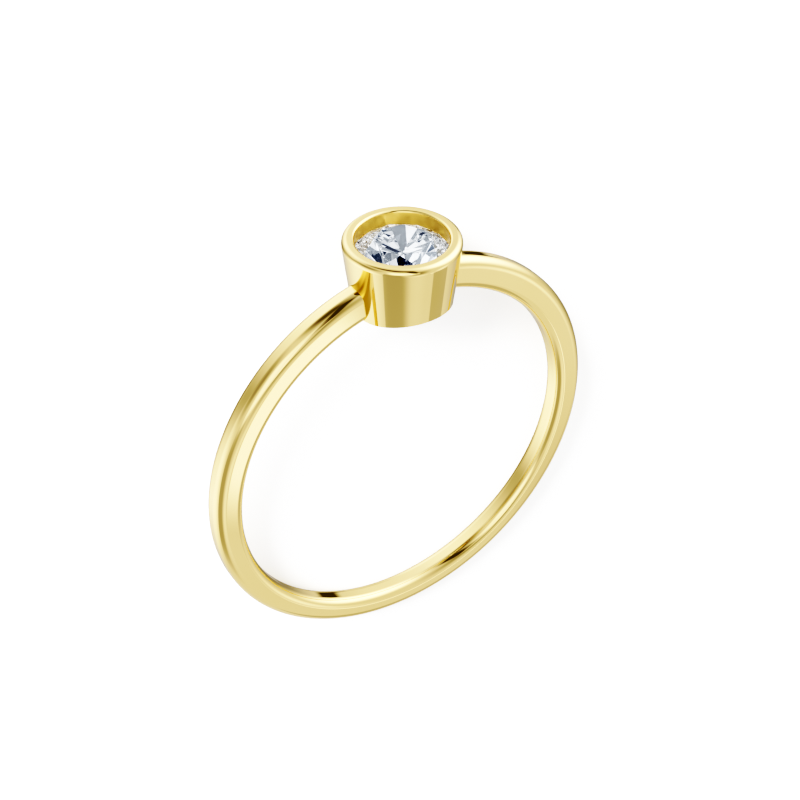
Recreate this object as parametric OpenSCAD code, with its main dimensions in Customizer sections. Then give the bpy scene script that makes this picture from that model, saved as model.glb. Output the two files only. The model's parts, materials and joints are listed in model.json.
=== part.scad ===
// A solitaire ring: a plain gold shank with a tapered bezel that holds one round brilliant-cut
// diamond. It is drawn as it lies by itself on a table, on the bezel's rim and the shank's back.
// Lengths are in millimetres and angles in degrees.

/* [Finger hole] */
// Diameter of the hole that the finger goes in
finger_d = 16.5; // [14:0.1:22]

/* [Shank] */
// Width of the shank, along the finger
shank_w = 1.15; // [1.05:0.05:1.6]
// Thickness of the shank at the head, beside the bezel
head_t = 1.5; // [1.2:0.05:1.8]
// Thickness of the shank at the back, opposite the bezel
back_t = 1.15; // [1:0.05:1.8]
// Radius that rounds the shank's outer edges
outer_round = 0.45; // [0.2:0.05:0.5]
// Radius that rounds the shank's inner edges, for comfort
inner_round = 0.4; // [0.2:0.05:0.45]

/* [Bezel] */
// Height of the bezel's rim above the finger hole
bezel_h = 2.9; // [2.7:0.05:3.6]
// Diameter of the bezel across its rim
rim_d = 5; // [4.9:0.05:6]
// Diameter of the bezel at its foot, at the height of the finger hole's edge
foot_d = 4.35; // [4:0.05:4.8]
// Radius that rounds the rim's outer edge
rim_round = 0.25; // [0.1:0.05:0.3]
// Radius that rounds the rim's inner edge
mouth_round = 0.12; // [0.05:0.01:0.15]
// Diameter of the open hole under the stone, for light and cleaning
light_hole_d = 2.7; // [1.8:0.1:3]

/* [Diamond] */
// Diameter of the stone across its girdle
stone_d = 4.05; // [3.9:0.01:4.1]
// How far the girdle's upper edge lies below the rim
stone_drop = 0.74; // [0.7:0.01:0.9]
// Width of the table as a share of the stone's diameter
table_share = 0.57; // [0.53:0.01:0.62]
// Slope of the crown's eight kite facets
crown_angle = 34.5; // [32:0.1:36]
// Slope of the pavilion's eight main facets
pavilion_angle = 40.8; // [40:0.1:42]
// Height of the girdle
girdle_h = 0.09; // [0.05:0.01:0.15]
// How far the star facets reach from the table towards the girdle
star_share = 0.52; // [0.45:0.01:0.6]
// How far the lower girdle facets reach from the girdle towards the point
lower_share = 0.77; // [0.7:0.01:0.85]
// Turn of the stone about its own axis
stone_turn = 9; // [0:0.5:45]
// Gap between the stone and the metal round it
stone_gap = 0.03; // [0.02:0.01:0.05]
// How far the bezel's lip reaches in over the girdle
lip = 0.06; // [0.04:0.01:0.1]

/* [Hidden] */
$fn = 180;

finger_r = finger_d / 2;
stone_r = stone_d / 2;
// How far a shape that cuts, or is cut away, reaches past the gold or the stone
spare = 1;

// The shank's outer surface is a drum that stands off centre, which makes the shank taper
drum_r = finger_r + (head_t + back_t) / 2;
drum_rise = (head_t - back_t) / 2;
// Any size that reaches past the shank from the middle of the finger hole
past_r = drum_r + spare;

// Heights in the bezel, above the middle of the finger hole
rim_z = finger_r + bezel_h;
girdle_top_z = rim_z - stone_drop;
girdle_z = girdle_top_z - girdle_h;

// The rim's outer rounding, and the lean of the wall that runs from the foot to touch it
rim_centre = [rim_d / 2 - rim_round, rim_z - rim_round];
foot = [foot_d / 2, finger_r];
to_rim = rim_centre - foot;
wall_lean = atan(to_rim[0] / to_rim[1]) + asin(rim_round / norm(to_rim));
wall_top = rim_centre + rim_round * [cos(wall_lean), -sin(wall_lean)];
wall_foot = foot - spare * [tan(wall_lean), 1];

// Inside the bezel: the mouth over the stone, the groove for its girdle and the seat below it
mouth_r = stone_r - lip;
mouth_centre = [mouth_r + mouth_round, rim_z - mouth_round];
groove_r = stone_r + stone_gap;
light_hole_r = light_hole_d / 2;
// Height of the crown's and the pavilion's clearance cones at a distance r from the axis
function lip_z(r) = girdle_top_z + (stone_r - r) * tan(crown_angle) + stone_gap / cos(crown_angle);
function seat_z(r) = girdle_z - (stone_r - r) * tan(pavilion_angle) - stone_gap / cos(pavilion_angle);
// The shank is cut out of the bezel's middle at this radius, inside its wall
core_r = (light_hole_r + foot_d / 2) / 2;

// How the ring lies: the tilt that lets the bezel's rim and the shank's back touch the table together
back_centre = [shank_w / 2 - outer_round, drum_rise - drum_r + outer_round];
to_back = rim_centre - back_centre;
lie_tilt = atan(to_back[0] / to_back[1]) + asin((rim_round - outer_round) / norm(to_back));
lie_rise = rim_centre[0] * cos(lie_tilt) - rim_centre[1] * sin(lie_tilt) + rim_round;
// Half way between the ends of the ring as it lies
rim_end = rim_centre[0] * sin(lie_tilt) + rim_centre[1] * cos(lie_tilt) + rim_round;
back_end = -back_centre[0] * sin(lie_tilt) + back_centre[1] * cos(lie_tilt) - outer_round;
lie_shift = (rim_end + back_end) / 2;

// Turns a shape from its own frame, with the finger along Y and the bezel up, to how the ring lies
module lying() {
    translate([0, -lie_shift, lie_rise]) rotate([lie_tilt - 90, 0, 0]) children();
}

// Turns a shape that stands along Z to lie along the finger
module along_finger() {
    rotate([-90, 0, 0]) children();
}

// Half outline of a disc with both of its outer edges rounded
module drum_outline() {
    flat = shank_w / 2 - outer_round;
    translate([0, -shank_w / 2]) square([drum_r - outer_round, shank_w]);
    translate([0, -flat]) square([drum_r, 2 * flat]);
    for (side = [-1, 1])
        translate([drum_r - outer_round, side * flat]) circle(outer_round);
}

// Half outline of a plate round the finger hole, with both of the hole's edges rounded
module plate_outline() {
    flat = shank_w / 2 - inner_round;
    plate_w = past_r - finger_r;
    translate([finger_r + inner_round, -shank_w / 2]) square([plate_w - inner_round, shank_w]);
    translate([finger_r, -flat]) square([plate_w, 2 * flat]);
    for (side = [-1, 1])
        translate([finger_r + inner_round, side * flat]) circle(inner_round);
}

// The hoop: what the off-centre drum and the plate round the finger hole have in common
module shank() {
    intersection() {
        translate([0, 0, drum_rise]) along_finger() rotate_extrude() drum_outline();
        along_finger() rotate_extrude() plate_outline();
    }
}

// Half outline of the bezel's wall: a leaning outside, a rounded rim, the mouth, the groove and the seat
module bezel_outline() {
    polygon([
        [light_hole_r, wall_foot[1]],
        wall_foot,
        wall_top,
        rim_centre,
        [rim_centre[0], rim_z],
        [mouth_centre[0], rim_z],
        mouth_centre,
        [mouth_r, mouth_centre[1]],
        [mouth_r, lip_z(mouth_r)],
        [groove_r, lip_z(groove_r)],
        [groove_r, seat_z(groove_r)],
        [light_hole_r, seat_z(light_hole_r)]
    ]);
    translate(rim_centre) circle(rim_round);
    translate(mouth_centre) circle(mouth_round);
}

// The gold: the hoop and the bezel, soldered into one, with the finger hole cut through both
module shank_and_bezel() {
    color([0.86, 0.72, 0.36])
        lying()
            difference() {
                union() {
                    difference() {
                        shank();
                        cylinder(h = rim_z, r = core_r);
                    }
                    rotate_extrude() bezel_outline();
                }
                along_finger() cylinder(h = rim_d + spare, r = finger_r, center = true);
            }
}

// All that lies under a plane through the point [r, z] at the given azimuth, sloping down outwards
module under_plane(azimuth, slope, r, z) {
    reach = 4 * stone_d;
    rotate([0, 0, azimuth]) translate([r, 0, z]) rotate([0, slope, 0])
        translate([-reach / 2, -reach / 2, -reach]) cube(reach);
}

// One side of a brilliant cut, standing on its girdle's plane: eight main facets, and a pair of girdle
// facets in each gap between them, which meet the mains at the radius tip_r
module brilliant_side(main_slope, tip_r) {
    step = 45;
    tip_z = (stone_r - tip_r * cos(step / 2)) * tan(main_slope);
    chord_r = stone_r * cos(step / 4);
    girdle_slope = atan(tip_z / ((stone_r - tip_r) * cos(step / 4)));
    intersection_for (i = [0 : 7])
        intersection() {
            under_plane(i * step, main_slope, stone_r, 0);
            under_plane((i + 1 / 4) * step, girdle_slope, chord_r, 0);
            under_plane((i + 3 / 4) * step, girdle_slope, chord_r, 0);
        }
}

// The stone in its own frame, with its point down and the girdle's lower edge at height 0
module brilliant() {
    step = 45;
    table_r = table_share * stone_r;
    table_z = (stone_r - table_r) * tan(crown_angle);
    table_edge_r = table_r * cos(step / 2);
    star_tip_r = table_edge_r + star_share * (stone_r - table_edge_r);
    star_tip_z = (stone_r - star_tip_r * cos(step / 2)) * tan(crown_angle);
    star_slope = atan((table_z - star_tip_z) / (star_tip_r - table_edge_r));
    point_z = stone_r * tan(pavilion_angle);
    intersection() {
        translate([0, 0, -point_z - spare]) cylinder(h = spare + point_z + girdle_h + table_z, r = stone_r);
        translate([0, 0, girdle_h]) brilliant_side(crown_angle, star_tip_r);
        translate([0, 0, girdle_h])
            intersection_for (i = [0 : 7])
                under_plane((i + 1 / 2) * step, star_slope, table_edge_r, table_z);
        mirror([0, 0, 1]) brilliant_side(pavilion_angle, (1 - lower_share) * stone_r);
    }
}

// The one stone, set in the bezel with a small gap all round
module diamond() {
    color([0.85, 0.9, 0.95, 0.6])
        lying() translate([0, 0, girdle_z]) rotate([0, 0, stone_turn]) brilliant();
}

shank_and_bezel();
diamond();
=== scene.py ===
"""A solitaire ring that lies on its side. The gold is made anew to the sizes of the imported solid
that it replaces, in finer steps, so that it mirrors without facets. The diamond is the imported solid
itself.

Lengths are in metres and angles in radians. The ring's own frame has X across the ring, Y along the
finger and Z towards the bezel, with its origin in the middle of the finger hole.
"""

import json
from math import asin, atan, cos, pi, radians, sin, tan

import bmesh
import bpy
import numpy as np
from mathutils import Matrix, Vector


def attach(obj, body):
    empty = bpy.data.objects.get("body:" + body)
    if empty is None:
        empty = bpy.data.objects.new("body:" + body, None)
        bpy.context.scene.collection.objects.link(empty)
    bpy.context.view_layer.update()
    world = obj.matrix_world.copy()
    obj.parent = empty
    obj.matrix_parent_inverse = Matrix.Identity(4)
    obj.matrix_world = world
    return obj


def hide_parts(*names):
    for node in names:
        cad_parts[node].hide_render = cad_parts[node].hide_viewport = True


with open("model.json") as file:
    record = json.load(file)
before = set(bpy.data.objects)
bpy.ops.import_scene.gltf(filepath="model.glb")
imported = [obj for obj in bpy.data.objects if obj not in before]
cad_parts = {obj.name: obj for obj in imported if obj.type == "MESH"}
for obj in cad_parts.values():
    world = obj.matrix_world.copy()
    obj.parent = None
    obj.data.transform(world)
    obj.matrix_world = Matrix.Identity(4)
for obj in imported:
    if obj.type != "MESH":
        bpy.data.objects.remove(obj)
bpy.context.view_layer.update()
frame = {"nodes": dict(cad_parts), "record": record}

MM = 0.001

# The frame gives the ring's place: the finger hole is its one mount
finger_hole = frame["record"]["mounts"][0]
finger_r = finger_hole["dims"]["r_mm"] * MM
across = Vector((1, 0, 0))
finger = -Vector(finger_hole["axis"]).normalized()
to_bezel = across.cross(finger)
ring_turn = Matrix((across, finger, to_bezel)).transposed()
ring_place = Matrix.Translation(finger_hole["pos_m"]) @ ring_turn.to_4x4()

# Sizes of the shank
shank_w = 1.15 * MM
head_t = 1.5 * MM
back_t = 1.15 * MM
outer_round = 0.45 * MM
inner_round = 0.4 * MM
drum_r = finger_r + (head_t + back_t) / 2
drum_rise = (head_t - back_t) / 2

# The hoop and the bezel reach into the finger hole at first, and a band is cut from both to open it
hoop_sunk = 0.2 * MM
bezel_sunk = 1 * MM
band_half_w = 3 * MM
band_t = 2 * MM

# Sizes of the bezel, and heights in it above the middle of the finger hole
rim_r = 2.5 * MM
foot_r = 2.175 * MM
rim_round = 0.25 * MM
mouth_round = 0.12 * MM
light_hole_r = 1.35 * MM
rim_z = finger_r + 2.9 * MM
girdle_top_z = rim_z - 0.74 * MM
girdle_z = girdle_top_z - 0.09 * MM

# Sizes of the stone and of the metal that holds it
stone_r = 2.025 * MM
stone_gap = 0.03 * MM
mouth_r = stone_r - 0.06 * MM
groove_r = stone_r + stone_gap
crown_slope = radians(34.5)
pavilion_slope = radians(40.8)

# The gold's colour, which drifts between two, and the deeper one in the bezel's mouth, which is a
# painted reflection of gold mirrored in gold
WARM_GOLD = (0.93, 0.73, 0.38, 1)
PALE_GOLD = (0.97, 0.77, 0.42, 1)
GOLD_PAINTED_REFLECTION = (0.93, 0.65, 0.26, 1)

# The gold's roughness: the least, what the swirls add and what the satin mouth adds. The satin
# reaches a hair past the mouth's radius, so that all of its wall is in it
POLISH, SWIRLS, SATIN = 0.005, 0.015, 0.3
MOUTH_MARGIN = 0.01 * MM

# Where the camera stands, seen from the ring, and how far the ring's middle lies right of and below
# the picture's middle
camera_turn = radians(32.68)
camera_rise = radians(38.9)
camera_away = 80.04 * MM
ring_right, ring_down = 0.084 * MM, 2.043 * MM
focal_length, sensor_width = 80.69, 36

# The camera sees from a hundredth of its distance to a hundred times it
CLIP_TIMES = 100

# Half the width of the floor
FLOOR_HALF = 0.5

# How finely the metal is divided: the steps of a whole turn and of each rounded edge, and the
# length of edge under which two points become one
TURN_STEPS = 480
ROUND_STEPS = 14
SMALLEST_EDGE = 0.0005 * MM

# How often light may cross the stone before it leaves
CROSSINGS = 128


def straight(start, end, steps=1):
    """Part of a section: the line start + t (end - start), with the normal on its right."""
    start, end = np.array(start), np.array(end)
    t = np.linspace(0, 1, steps + 1)[:, None]
    along = (end - start) / np.linalg.norm(end - start)
    normal = np.array((along[1], -along[0]))
    return start + t * (end - start), np.tile(normal, (steps + 1, 1))


def rounded(centre, radius, first, last):
    """Part of a section: the arc centre + radius (cos a, sin a), a from first to last, with the
    normal (cos a, sin a)."""
    a = np.linspace(first, last, ROUND_STEPS + 1)
    normal = np.column_stack((np.cos(a), np.sin(a)))
    return np.array(centre) + radius * normal, normal


def section(*parts):
    """A closed section from parts that end where the next begins. It gives the points and, for the
    edge from each point to the next, the two normals at its ends."""
    points = np.concatenate([p[:-1] for p, _ in parts])
    ends = np.concatenate([np.stack((n[:-1], n[1:]), axis=1) for _, n in parts])
    return points, ends


def turned(name, points, ends, place, rise=0.0, first=0.0, last=2 * pi, steps=TURN_STEPS):
    """A mesh of a section that is carried round an axis. The point (r, h) of the section runs along
    x = r sin a, y = h, z = r cos a + rise, with a from first to last, and each point may have its
    own rise. Less than a whole turn is closed by two flat ends. Every corner keeps the true normal
    of its surface."""
    whole = last - first >= 2 * pi
    rows, columns = len(points), steps if whole else steps + 1
    a = first + (last - first) * np.arange(columns) / steps
    r, h = points.T
    rise = np.broadcast_to(rise, rows)
    x = np.outer(r, np.sin(a))
    y = np.outer(h, np.ones(columns))
    z = np.outer(r, np.cos(a)) + rise[:, None]
    places = np.stack((x, y, z), axis=-1).reshape(-1, 3)

    i, j = np.meshgrid(np.arange(rows), np.arange(steps), indexing="ij")
    i_next, j_next = (i + 1) % rows, (j + 1) % columns
    here, there = i * columns, i_next * columns
    quads = np.stack((here + j, here + j_next, there + j_next, there + j), axis=-1).reshape(-1, 4)

    # A quad's first two corners are at the start of its edge of the section, the others at its end
    end_of_corner = np.array((0, 0, 1, 1))
    n = ends[i[..., None], end_of_corner]
    angle = np.stack((a[j], a[j_next], a[j_next], a[j]), axis=-1)
    normals = np.stack((n[..., 0] * np.sin(angle), n[..., 1], n[..., 0] * np.cos(angle)), axis=-1)
    faces = quads.tolist()
    normals = normals.reshape(-1, 3)
    if not whole:
        for column, outward in ((0, -1), (columns - 1, 1)):
            flat = np.arange(rows)[::outward] * columns + column
            faces.append(flat.tolist())
            away = outward * np.array((cos(a[column]), 0, -sin(a[column])))
            normals = np.concatenate((normals, np.tile(away, (rows, 1))))

    turn = np.array(place.to_3x3())
    places = places @ turn.T + np.array(place.translation)
    normals = normals @ turn.T
    mesh = bpy.data.meshes.new(name)
    mesh.from_pydata(places.tolist(), [], faces)
    true_normal = mesh.attributes.new("true_normal", "FLOAT_VECTOR", "CORNER")
    true_normal.data.foreach_set("vector", normals.ravel())
    mesh.update()
    piece = bpy.data.objects.new(name, mesh)
    bpy.context.scene.collection.objects.link(piece)
    return piece


def hoop():
    """The shank before its hole is cut: a section whose outer half is carried round the drum's axis
    and whose inner half is carried round the finger hole's, from inside the bezel's wall on one
    side to inside it on the other."""
    outer_flat, inner_flat = shank_w / 2 - outer_round, shank_w / 2 - inner_round
    outer_edge, inner_edge = drum_r - outer_round, finger_r + inner_round
    sunk_r = finger_r - hoop_sunk
    points, ends = section(
        straight((drum_r, -outer_flat), (drum_r, outer_flat), 2),
        rounded((outer_edge, outer_flat), outer_round, 0, pi / 2),
        straight((outer_edge, shank_w / 2), (inner_edge, shank_w / 2)),
        rounded((inner_edge, inner_flat), inner_round, pi / 2, pi),
        straight((finger_r, inner_flat), (sunk_r, inner_flat)),
        straight((sunk_r, inner_flat), (sunk_r, -inner_flat)),
        straight((sunk_r, -inner_flat), (finger_r, -inner_flat)),
        rounded((inner_edge, -inner_flat), inner_round, pi, 3 * pi / 2),
        straight((inner_edge, -shank_w / 2), (outer_edge, -shank_w / 2)),
        rounded((outer_edge, -outer_flat), outer_round, -pi / 2, 0),
    )
    rise = np.where(points[:, 0] > (outer_edge + inner_edge) / 2, drum_rise, 0)
    step = 2 * pi / TURN_STEPS
    wall_middle = (light_hole_r + foot_r) / 2
    steps_out = round(asin(wall_middle / (finger_r + head_t / 2)) / step)
    first, last = steps_out * step, 2 * pi - steps_out * step
    return turned("hoop", points, ends, ring_place, rise, first, last, TURN_STEPS - 2 * steps_out)


def bezel():
    """The bezel before its underside is cut: a leaning wall that is tangent to the rounded rim, the
    mouth, the groove for the stone's girdle, the seat and the light hole, carried round the bezel's
    axis."""
    rim_centre = np.array((rim_r - rim_round, rim_z - rim_round))
    to_rim = rim_centre - (foot_r, finger_r)
    lean = atan(to_rim[0] / to_rim[1]) + asin(rim_round / np.hypot(*to_rim))
    wall_top = rim_centre + rim_round * np.array((cos(lean), -sin(lean)))
    wall_foot = (foot_r - bezel_sunk * tan(lean), finger_r - bezel_sunk)
    mouth_centre = (mouth_r + mouth_round, rim_z - mouth_round)

    def lip_z(r):
        """The lip's height at a radius: the crown's slope, with the gap square to it."""
        return girdle_top_z + (stone_r - r) * tan(crown_slope) + stone_gap / cos(crown_slope)

    def seat_z(r):
        """The seat's height at a radius: the pavilion's slope, with the gap square to it."""
        return girdle_z - (stone_r - r) * tan(pavilion_slope) - stone_gap / cos(pavilion_slope)

    points, ends = section(
        straight((light_hole_r, wall_foot[1]), wall_foot),
        straight(wall_foot, wall_top, 6),
        rounded(rim_centre, rim_round, -lean, pi / 2),
        straight((rim_centre[0], rim_z), (mouth_centre[0], rim_z)),
        rounded(mouth_centre, mouth_round, pi / 2, pi),
        straight((mouth_r, mouth_centre[1]), (mouth_r, lip_z(mouth_r)), 2),
        straight((mouth_r, lip_z(mouth_r)), (groove_r, lip_z(groove_r))),
        straight((groove_r, lip_z(groove_r)), (groove_r, seat_z(groove_r))),
        straight((groove_r, seat_z(groove_r)), (light_hole_r, seat_z(light_hole_r)), 2),
        straight((light_hole_r, seat_z(light_hole_r)), (light_hole_r, wall_foot[1]), 3),
    )
    return turned("bezel", points, ends, ring_place @ Matrix.Rotation(pi / 2, 4, "X"))


def finger_cut():
    """What opens the finger hole: a band of rectangular section just inside it, carried round its
    axis with the hoop's own steps."""
    half, inside = band_half_w, finger_r - band_t
    points, ends = section(
        straight((inside, -half), (finger_r, -half)),
        straight((finger_r, -half), (finger_r, half)),
        straight((finger_r, half), (inside, half)),
        straight((inside, half), (inside, -half)),
    )
    return turned("finger_cut", points, ends, ring_place)


def joined(name, body, added, taken):
    """One mesh of the body with the added piece, less the taken one. Each corner's true normal
    comes through by interpolation and becomes the corner's own. On the faces that the cut leaves it
    is turned round first, so that it points outwards."""
    for other, operation in ((added, "UNION"), (taken, "DIFFERENCE")):
        step = body.modifiers.new(operation, "BOOLEAN")
        step.object, step.operation, step.solver = other, operation, "EXACT"
    whole = body.evaluated_get(bpy.context.evaluated_depsgraph_get())
    mesh = bpy.data.meshes.new_from_object(whole)
    for piece in (body, added, taken):
        bpy.data.objects.remove(piece)

    merged = bmesh.new()
    merged.from_mesh(mesh)
    bmesh.ops.remove_doubles(merged, verts=merged.verts, dist=SMALLEST_EDGE)
    merged.to_mesh(mesh)
    merged.free()

    normals = np.zeros(len(mesh.loops) * 3, np.float32)
    mesh.attributes["true_normal"].data.foreach_get("vector", normals)
    flat = np.zeros(len(mesh.polygons) * 3, np.float32)
    mesh.polygons.foreach_get("normal", flat)
    sides = np.zeros(len(mesh.polygons), np.int32)
    mesh.polygons.foreach_get("loop_total", sides)
    normals, flat = normals.reshape(-1, 3), np.repeat(flat.reshape(-1, 3), sides, axis=0)
    normals *= np.sign(np.sum(normals * flat, axis=1, keepdims=True))
    normals /= np.linalg.norm(normals, axis=1, keepdims=True)
    mesh.attributes.remove(mesh.attributes["true_normal"])
    mesh.shade_smooth()
    mesh.normals_split_custom_set(normals.tolist())
    mesh.name = name
    piece = bpy.data.objects.new(name, mesh)
    bpy.context.scene.collection.objects.link(piece)
    return piece


class Value:
    """A number in a shader. Arithmetic on it adds Math nodes."""

    def __init__(self, finish, socket):
        self.finish, self.socket = finish, socket

    def maths(self, operation, *values):
        sockets = dict(enumerate(values))
        return self.finish.value("ShaderNodeMath", {"operation": operation}, sockets)

    def __add__(self, other):
        return self.maths("ADD", self, other)

    def __sub__(self, other):
        return self.maths("SUBTRACT", self, other)

    def __rsub__(self, other):
        return self.maths("SUBTRACT", other, self)

    def __mul__(self, other):
        return self.maths("MULTIPLY", self, other)

    def __truediv__(self, other):
        return self.maths("DIVIDE", self, other)

    def __gt__(self, other):
        return self.maths("GREATER_THAN", self, other)

    def __lt__(self, other):
        return self.maths("LESS_THAN", self, other)

    def __abs__(self):
        return self.maths("ABSOLUTE", self)

    __radd__, __rmul__ = __add__, __mul__


class Finish:
    """The node tree of a material or of the world."""

    def __init__(self, owner):
        owner.use_nodes = True
        self.owner, self.tree = owner, owner.node_tree
        self.tree.nodes.clear()

    def node(self, kind, settings=None, sockets=None, output=0):
        """Adds a node of this kind, makes its settings, then sets or links its sockets, which are
        named or numbered. It gives the numbered or named output, if the node has any."""
        node = self.tree.nodes.new(kind)
        for name, value in (settings or {}).items():
            setattr(node, name, value)
        for name, value in (sockets or {}).items():
            value = value.socket if isinstance(value, Value) else value
            if isinstance(value, bpy.types.NodeSocket):
                self.tree.links.new(value, node.inputs[name])
            else:
                node.inputs[name].default_value = value
        return node.outputs[output] if len(node.outputs) else None

    def value(self, *what, **more):
        """The same, as a number for arithmetic."""
        return Value(self, self.node(*what, **more))

    def vector(self, operation, one, other, output="Vector"):
        """What Vector Math makes of two vectors."""
        sockets = {0: one, 1: other}
        return self.node("ShaderNodeVectorMath", {"operation": operation}, sockets, output)

    def dot(self, one, other):
        """The dot product of two vectors."""
        return Value(self, self.vector("DOT_PRODUCT", one, other, "Value"))

    def mix(self, share, none, full):
        """The first colour where the share is 0 and the second where it is 1."""
        return self.node("ShaderNodeMix", {"data_type": "RGBA"}, {0: share, 6: none, 7: full}, 2)

    def smooth(self, value, start, end):
        """0 on start's side of the value, 1 on end's side, and a smooth step between."""
        return self.value("ShaderNodeMapRange", {"interpolation_type": "SMOOTHSTEP"}, {
            "Value": value, "From Min": start, "From Max": end,
        })


def gold():
    """Polished yellow gold: the alloy's colour drifts a little and the polish has fine swirls.
    Inside the bezel's mouth, which is above the girdle and within the mouth's radius of the bezel's
    axis, it is satin, as a buff reaches less well there, and its colour is deeper, a painted
    reflection of gold mirrored in gold."""
    finish = Finish(bpy.data.materials.new("polished_yellow_gold"))
    place = finish.node("ShaderNodeTexCoord", output="Object")
    point = finish.vector("SUBTRACT", place, ring_place.translation)
    on_axis = finish.vector("PROJECT", point, to_bezel)
    away = Value(finish, finish.vector("DISTANCE", point, on_axis, "Value"))
    mouth = (finish.dot(point, to_bezel) > girdle_z) * (away < mouth_r + MOUTH_MARGIN)
    drift = finish.value("ShaderNodeTexNoise", None, {
        "Vector": place, "Scale": 220.0, "Detail": 2.0,
    })
    swirl = finish.value("ShaderNodeTexNoise", None, {
        "Vector": place, "Scale": 2600.0, "Detail": 3.0,
    })
    # Inside the mouth the base colour is a painted reflection: deeper gold stands in for gold
    # mirrored in gold
    surface = finish.node("ShaderNodeBsdfPrincipled", None, {
        "Base Color": finish.mix(mouth, finish.mix(drift, WARM_GOLD, PALE_GOLD), GOLD_PAINTED_REFLECTION),
        "Metallic": 1.0, "Roughness": POLISH + SWIRLS * swirl + SATIN * mouth,
    })
    finish.node("ShaderNodeOutputMaterial", None, {"Surface": surface})
    return finish.owner


def brilliant():
    """Diamond: clear and smooth, with its own strong refraction. The tint dims the mirror image on
    its outside, which is of the gold round it."""
    finish = Finish(bpy.data.materials.new("clear_diamond"))
    surface = finish.node("ShaderNodeBsdfPrincipled", None, {
        "Base Color": (0.97, 0.98, 1.0, 1), "Transmission Weight": 1.0, "IOR": 2.417,
        "Roughness": 0.0, "Specular Tint": (0.3, 0.35, 0.4, 1),
    })
    finish.node("ShaderNodeOutputMaterial", None, {"Surface": surface})
    return finish.owner


def direction(turn, height):
    """The way at a turn from Y towards X and a height above the plane of both."""
    return Vector((sin(turn) * cos(height), cos(turn) * cos(height), sin(height)))


def camera():
    """The camera stands where the photograph's did, as seen from the ring: turned round it, above
    it and a distance away, with the ring's middle a little off the picture's middle."""
    away = direction(camera_turn + pi, camera_rise)
    right = Vector((cos(camera_turn), -sin(camera_turn), 0))
    up = away.cross(right)
    lens = bpy.data.cameras.new("camera")
    lens.lens, lens.sensor_width = focal_length, sensor_width
    lens.clip_start, lens.clip_end = camera_away / CLIP_TIMES, camera_away * CLIP_TIMES
    stand = bpy.data.objects.new("camera", lens)
    turn = Matrix((right, up, away)).transposed().to_4x4()
    place = Matrix.Translation(camera_away * away - ring_right * right + ring_down * up)
    stand.matrix_world = ring_place @ place @ turn
    bpy.context.scene.collection.objects.link(stand)
    bpy.context.scene.camera = stand


def floor():
    """The plain pale floor that the ring lies on. The gold and the stone don't mirror it, as if the
    studio alone were round them."""
    half = FLOOR_HALF
    corners = [(-half, -half, 0), (half, -half, 0), (half, half, 0), (-half, half, 0)]
    mesh = bpy.data.meshes.new("floor")
    mesh.from_pydata(corners, [], [(0, 1, 2, 3)])
    ground = bpy.data.objects.new("floor", mesh)
    finish = Finish(bpy.data.materials.new("pale_floor"))
    surface = finish.node("ShaderNodeBsdfPrincipled", None, {
        "Base Color": (0.9, 0.9, 0.9, 1), "Roughness": 1.0, "Specular IOR Level": 0.0,
    })
    finish.node("ShaderNodeOutputMaterial", None, {"Surface": surface})
    mesh.materials.append(finish.owner)
    ground.visible_glossy = ground.visible_transmission = False
    bpy.context.scene.collection.objects.link(ground)


def lamp(name, turn, height, strength, width):
    """A soft lamp for the floor alone, far away. It stands at a turn from the way to the bezel and
    a height above the floor, and is as wide as the given angle."""
    sun = bpy.data.lights.new(name, "SUN")
    sun.energy, sun.angle = strength, width
    stand = bpy.data.objects.new(name, sun)
    stand.visible_glossy = stand.visible_transmission = False
    stand.rotation_euler = direction(turn, height).to_track_quat("Z", "Y").to_euler()
    bpy.context.scene.collection.objects.link(stand)


# The studio's soft lights and dark screens, each a rectangle far away, as seen from the ring: the
# turn and the height of its middle in the ring's own frame, half its width and height, all in
# degrees, the light that it adds, how soft its edges are, and which of its sides are crisp instead
SCREENS = {
    "key": (95, 40, 30, 30, 1.8, 0.9, None),
    "fill": (-147, 22, 21, 20, 0.75, 0.4, None),
    "spark": (-170, 15, 8, 12, 0.8, 0.4, None),
    "top_flag": (-100, 75, 25, 12, -0.7, 0.8, None),
    "stripe_flag": (-170, 40, 6, 30, -0.65, 0.6, None),
    "low_flag": (-132, -30, 18, 30, -0.4, 0.5, "right"),
    "low_spark": (152, -39, 2.5, 3, 0.8, 0.35, None),
    "side_flag": (-175, 15, 15, 25, -0.6, 1.0, None),
    "under_flag": (125, -60, 13, 18, -0.3, 0.2, "both"),
    "under_light": (180, -35, 10, 10, 0.3, 0.9, None),
    "low_glow": (135, -22, 10, 10, 0.5, 0.9, None),
    "right_flag": (70, -25, 25, 15, -0.5, 0.9, None),
    "back_light": (-10, 25, 25, 25, 1.6, 1.0, None),
    "low_back_light": (-60, -25, 35, 25, 0.8, 0.8, None),
    "left_flag": (-80, 30, 20, 15, -0.5, 0.8, None),
    "back_flag": (-20, 10, 25, 30, -1.2, 1.0, None),
    "narrow_flag": (50, 4, 6, 6, -0.8, 0.5, None),
    "far_flag": (33, -39, 20, 20, -0.25, 0.6, None),
}
CRISP = 0.06

# The room's own light, the least that the screens leave of it, and what the camera sees instead,
# which is past the picture's white
PLAIN_WHITE = (1, 1, 1, 1)
ROOM_LIGHT = 0.9
DARKEST = 0.16
SHOWN_LIGHT = 2.0

# The colours of the clouds that light sees as it leaves the stone, and where in the clouds' value
# each passes to the next
NAVY = (0.03, 0.035, 0.07, 1)
GREY = (0.33, 0.35, 0.37, 1)
COOL_WHITE = (1.55, 1.6, 1.65, 1)
NAVY_TO_GREY = 0.37, 0.43
GREY_TO_WHITE = 0.46, 0.6


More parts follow.
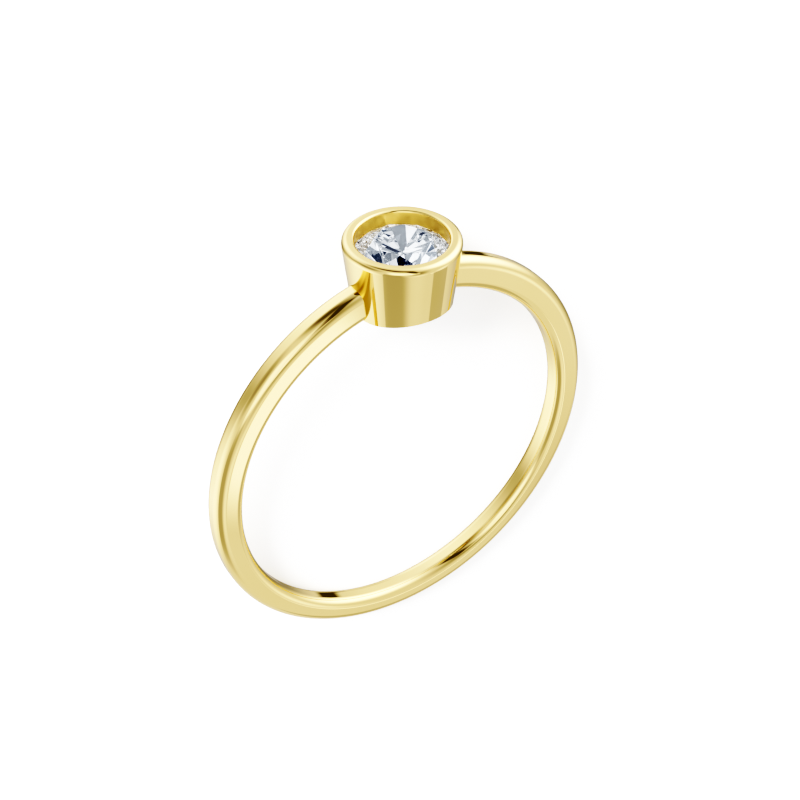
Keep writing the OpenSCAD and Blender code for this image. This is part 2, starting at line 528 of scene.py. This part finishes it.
def light():
    """A bright room with a few soft lights and dark screens. A way's u and v on a screen are its
    tangents to the side and up, over those of the screen's half width and height, and the screen
    reaches to 1 in both. The picture shows the room as plain white, and light that leaves the stone
    sees cool clouds."""
    world = bpy.data.worlds.new("studio")
    bpy.context.scene.world = world
    finish = Finish(world)
    way = finish.node("ShaderNodeTexCoord", output="Generated")

    def within(distance, soft):
        """1 well inside the distance 1, 0 well outside it, and a smooth step between."""
        return finish.smooth(distance, 1 + soft, 1 - soft)

    glow = ROOM_LIGHT
    for turn, height, half_width, half_height, strength, soft, crisp in SCREENS.values():
        turn, height = radians(turn), radians(height)
        facing, side = direction(turn, height), Vector((cos(turn), -sin(turn), 0))
        facing, side, top = (ring_turn @ v for v in (facing, side, side.cross(facing)))
        ahead = finish.dot(way, facing)
        u = finish.dot(way, side) / ahead * (1 / tan(radians(half_width)))
        v = abs(finish.dot(way, top) / ahead) * (1 / tan(radians(half_height)))
        left, right = (CRISP if crisp in (edge, "both") else soft for edge in ("left", "right"))
        sides = within(0 - u, left) * within(u, right)
        glow = glow + strength * sides * within(v, soft) * (ahead > 0)
    room = finish.node("ShaderNodeBackground", None, {
        "Color": PLAIN_WHITE, "Strength": glow.maths("MAXIMUM", glow, DARKEST),
    })
    clouds = finish.value("ShaderNodeTexNoise", {"noise_dimensions": "4D"}, {
        "Vector": way, "W": 9.0, "Scale": 2.5, "Detail": 2.0,
    })
    dark = finish.mix(finish.smooth(clouds, *NAVY_TO_GREY), NAVY, GREY)
    cool = finish.mix(finish.smooth(clouds, *GREY_TO_WHITE), dark, COOL_WHITE)
    cool_room = finish.node("ShaderNodeBackground", None, {"Color": cool})
    refracted = finish.node("ShaderNodeLightPath", output="Is Transmission Ray")
    room = finish.node("ShaderNodeMixShader", None, {0: refracted, 1: room, 2: cool_room})
    seen = finish.node("ShaderNodeLightPath", output="Is Camera Ray")
    white = finish.node("ShaderNodeBackground", None, {
        "Color": PLAIN_WHITE, "Strength": SHOWN_LIGHT,
    })
    shown = finish.node("ShaderNodeMixShader", None, {0: seen, 1: room, 2: white})
    finish.node("ShaderNodeOutputWorld", None, {"Surface": shown})
    world.cycles_visibility.diffuse = False


# How the picture's light becomes its tones: deep shadows, a steep middle and soft highlights
TONES = (0.1, 0), (0.2, 0.06), (0.3, 0.21), (0.5, 0.48), (0.85, 0.77), (1.4, 0.95), (1.9, 1)


def film():
    """Sets the picture's tones: a curve through the pairs of light and tone."""
    view = bpy.context.scene.view_settings
    view.view_transform, view.use_curve_mapping = "Standard", True
    tones = view.curve_mapping
    tones.clip_max_x = TONES[-1][0]
    points = tones.curves[3].points
    points[0].location, points[-1].location = TONES[0], TONES[-1]
    for pair in TONES[1:-1]:
        points.new(*pair)
    tones.update()


ring = joined("ring_metal", hoop(), bezel(), finger_cut())
ring.data.materials.append(gold())
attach(ring, "root")
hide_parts("shank_and_bezel")
ring.visible_transmission = False

stone = frame["nodes"]["diamond"]
stone.data.materials.clear()
stone.data.materials.append(brilliant())

cycles = bpy.context.scene.cycles
cycles.max_bounces = cycles.glossy_bounces = cycles.transmission_bounces = CROSSINGS

camera()
floor()
lamp("sky_lamp", turn=0, height=radians(90), strength=5.0, width=radians(170))
lamp("shadow_lamp", turn=radians(-45), height=radians(18), strength=13.0, width=radians(30))
light()
film()
